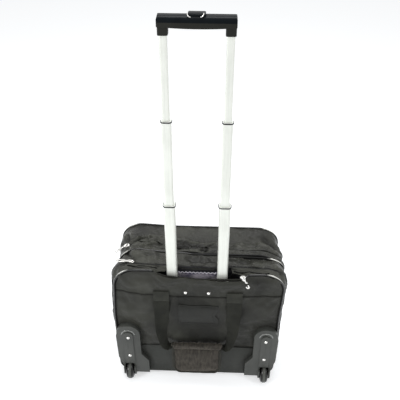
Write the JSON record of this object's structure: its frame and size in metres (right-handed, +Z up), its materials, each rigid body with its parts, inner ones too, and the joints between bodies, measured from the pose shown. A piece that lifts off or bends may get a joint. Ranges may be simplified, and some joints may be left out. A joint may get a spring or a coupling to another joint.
{
  "type": "rolling laptop case",
  "caption": "Soft wheeled laptop case with zipped compartments, padded carry handles and a telescoping pull handle with a push-button release.",
  "frame": {"origin": "on the floor, below the middle of the whole object's box", "axes": "+Z up, +Y from the wheel side to the front of the case, +X to the right as seen from behind"},
  "size_m": [0.43, 0.2364, 0.9915],
  "materials": {
    "case_fabric": "matte charcoal nylon with a soft sheen",
    "panel_fabric": "matte charcoal nylon over foam",
    "lining": "thin purple-grey lining cloth",
    "kick": "smooth coated sheet",
    "housing": "grained moulding",
    "frame_plastic": "plain moulding",
    "rail_metal": "satin anodised",
    "collar_plastic": "glossy moulding",
    "grip_plastic": "matte moulding",
    "cover_plastic": "glossy moulding",
    "button_plastic": "glossy moulding",
    "steel": "bright steel",
    "zinc": "bright plated",
    "tyre": "glossy solid tyre",
    "hub": "satin moulding",
    "foot_rubber": "matte",
    "webbing": "flat woven webbing",
    "wrap_fabric": "ribbed pile over foam",
    "pad": "foam-backed cloth"
  },
  "bodies": {
    "case": {"back_panel": "panel_fabric", "back_gusset": "case_fabric", "main_gusset": "case_fabric", "main_divider": "pad", "frame_tray": "frame_plastic", "kick_plate": "kick", "wheel_housing_left": "housing", "wheel_housing_right": "housing", "axles": "steel", "guide_tubes": "rail_metal", "guide_collars": "collar_plastic", "rail_brackets": "frame_plastic", "foot_left": "foot_rubber", "foot_right": "foot_rubber", "foot_screws": "steel", "rivets": "zinc", "card_pocket": "panel_fabric", "pocket_lining": "lining", "laptop_pad": "pad"},
    "main_flap": {"main_flap": "case_fabric"},
    "front_leaf": {"front_gusset": "case_fabric", "front_panel": "panel_fabric"},
    "rail_low": {"rail_low_left": "rail_metal", "rail_low_right": "rail_metal", "collars_low": "collar_plastic", "lock_blocks_low": "collar_plastic"},
    "rail_mid": {"rail_mid_left": "rail_metal", "rail_mid_right": "rail_metal", "collars_mid": "collar_plastic", "lock_blocks_mid": "collar_plastic"},
    "rail_top": {"rail_top_left": "rail_metal", "rail_top_right": "rail_metal", "lock_blocks_top": "collar_plastic", "grip_body": "grip_plastic", "grip_cover": "cover_plastic"},
    "button": {"grip_button": "button_plastic", "release_yoke": "steel", "button_spring": "steel"},
    "lock_pin_top_left": {"lock_pin_top_left": "steel"},
    "lock_pin_top_right": {"lock_pin_top_right": "steel"},
    "lock_pin_mid_left": {"lock_pin_mid_left": "steel"},
    "lock_pin_mid_right": {"lock_pin_mid_right": "steel"},
    "lock_pin_low_left": {"lock_pin_low_left": "steel"},
    "lock_pin_low_right": {"lock_pin_low_right": "steel"},
    "wheel_left": {"tyre_left": "tyre", "hub_left": "hub"},
    "wheel_right": {"tyre_right": "tyre", "hub_right": "hub"},
    "rear_handle": {"rear_handle_straps": "webbing", "rear_handle_wrap": "wrap_fabric"},
    "front_handle": {"front_handle_straps": "webbing", "front_handle_wrap": "wrap_fabric"},
    "slider_rear": {"slider_rear": "zinc"},
    "puller_rear": {"puller_rear": "zinc"},
    "slider_main": {"slider_main": "zinc"},
    "puller_main": {"puller_main": "zinc"},
    "slider_front": {"slider_front": "zinc"},
    "puller_front": {"puller_front": "zinc"}
  },
  "joints": [
    {"name": "rail_low_slide", "type": "slide", "parent": "case", "child": "rail_low", "axis": [0, 0, 1], "range_m": [-0.2, 0]},
    {"name": "rail_mid_slide", "type": "slide", "parent": "rail_low", "child": "rail_mid", "axis": [0, 0, 1], "range_m": [-0.195, 0]},
    {"name": "rail_top_slide", "type": "slide", "parent": "rail_mid", "child": "rail_top", "axis": [0, 0, 1], "range_m": [-0.165, 0]},
    {"name": "button_press", "type": "slide", "parent": "rail_top", "child": "button", "axis": [0, 0, -1], "range_m": [0, 0.004], "stiffness_N_per_m": 1500, "springref_m": -0.001, "deforming": ["button_spring"]},
    {"name": "lock_pin_top_left_slide", "type": "slide", "parent": "rail_top", "child": "lock_pin_top_left", "axis": [-1, 0, 0], "range_m": [0, 0.003]},
    {"name": "lock_pin_top_right_slide", "type": "slide", "parent": "rail_top", "child": "lock_pin_top_right", "axis": [1, 0, 0], "range_m": [0, 0.003]},
    {"name": "lock_pin_mid_left_slide", "type": "slide", "parent": "rail_mid", "child": "lock_pin_mid_left", "axis": [-1, 0, 0], "range_m": [0, 0.003], "stiffness_N_per_m": 400, "springref_m": -0.001},
    {"name": "lock_pin_mid_right_slide", "type": "slide", "parent": "rail_mid", "child": "lock_pin_mid_right", "axis": [1, 0, 0], "range_m": [0, 0.003], "stiffness_N_per_m": 400, "springref_m": -0.001},
    {"name": "lock_pin_low_left_slide", "type": "slide", "parent": "rail_low", "child": "lock_pin_low_left", "axis": [-1, 0, 0], "range_m": [0, 0.003], "stiffness_N_per_m": 400, "springref_m": -0.001},
    {"name": "lock_pin_low_right_slide", "type": "slide", "parent": "rail_low", "child": "lock_pin_low_right", "axis": [1, 0, 0], "range_m": [0, 0.003], "stiffness_N_per_m": 400, "springref_m": -0.001},
    {"name": "wheel_left_spin", "type": "hinge", "parent": "case", "child": "wheel_left", "pos_m": [-0.18, -0.0912, 0.027], "axis": [1, 0, 0], "continuous": true},
    {"name": "wheel_right_spin", "type": "hinge", "parent": "case", "child": "wheel_right", "pos_m": [0.18, -0.0912, 0.027], "axis": [1, 0, 0], "continuous": true},
    {"name": "main_flap_fold", "type": "hinge", "parent": "case", "child": "main_flap", "pos_m": [0, -0.0132, 0.387], "axis": [-1, 0, 0], "range_deg": [0, 110]},
    {"name": "front_leaf_open", "type": "hinge", "parent": "case", "child": "front_leaf", "pos_m": [0, 0.0148, 0.038], "axis": [-1, 0, 0], "range_deg": [0, 20]},
    {"name": "rear_handle_lift", "type": "hinge", "parent": "case", "child": "rear_handle", "pos_m": [0, -0.0872, 0.29125], "axis": [-1, 0, 0], "range_deg": [0, 150]},
    {"name": "front_handle_lift", "type": "hinge", "parent": "front_leaf", "child": "front_handle", "pos_m": [0, 0.0968, 0.29125], "axis": [1, 0, 0], "range_deg": [0, 150]},
    {"name": "slider_rear_run", "type": "slide", "parent": "case", "child": "slider_rear", "axis": [1, 0, 0], "range_m": [-0.195, 0]},
    {"name": "puller_rear_lift", "type": "hinge", "parent": "slider_rear", "child": "puller_rear", "pos_m": [0.10751, -0.08735, 0.38015], "axis": [-0.9205, 0, -0.3907], "range_deg": [0, 120]},
    {"name": "slider_main_run", "type": "slide", "parent": "case", "child": "slider_main", "axis": [1, 0, 0], "range_m": [0, 0.3]},
    {"name": "puller_main_lift", "type": "hinge", "parent": "slider_main", "child": "puller_main", "pos_m": [-0.15675, -0.0522, 0.39085], "axis": [0, 1, 0], "range_deg": [0, 150]},
    {"name": "slider_front_run", "type": "hinge", "parent": "case", "child": "slider_front", "pos_m": [-0.148, 0.0148, 0.335], "axis": [0, 1, 0], "range_deg": [-50, 34]},
    {"name": "puller_front_lift", "type": "hinge", "parent": "slider_front", "child": "puller_front", "pos_m": [-0.17878, 0.01506, 0.38282], "axis": [-0.1724, 0.9781, -0.1163], "range_deg": [0, 120]}
  ],
  "couplings": [
    {"joint": "lock_pin_top_left_slide", "follows": "button_press", "ratio": 0.75},
    {"joint": "lock_pin_top_right_slide", "follows": "button_press", "ratio": 0.75}
  ]
}
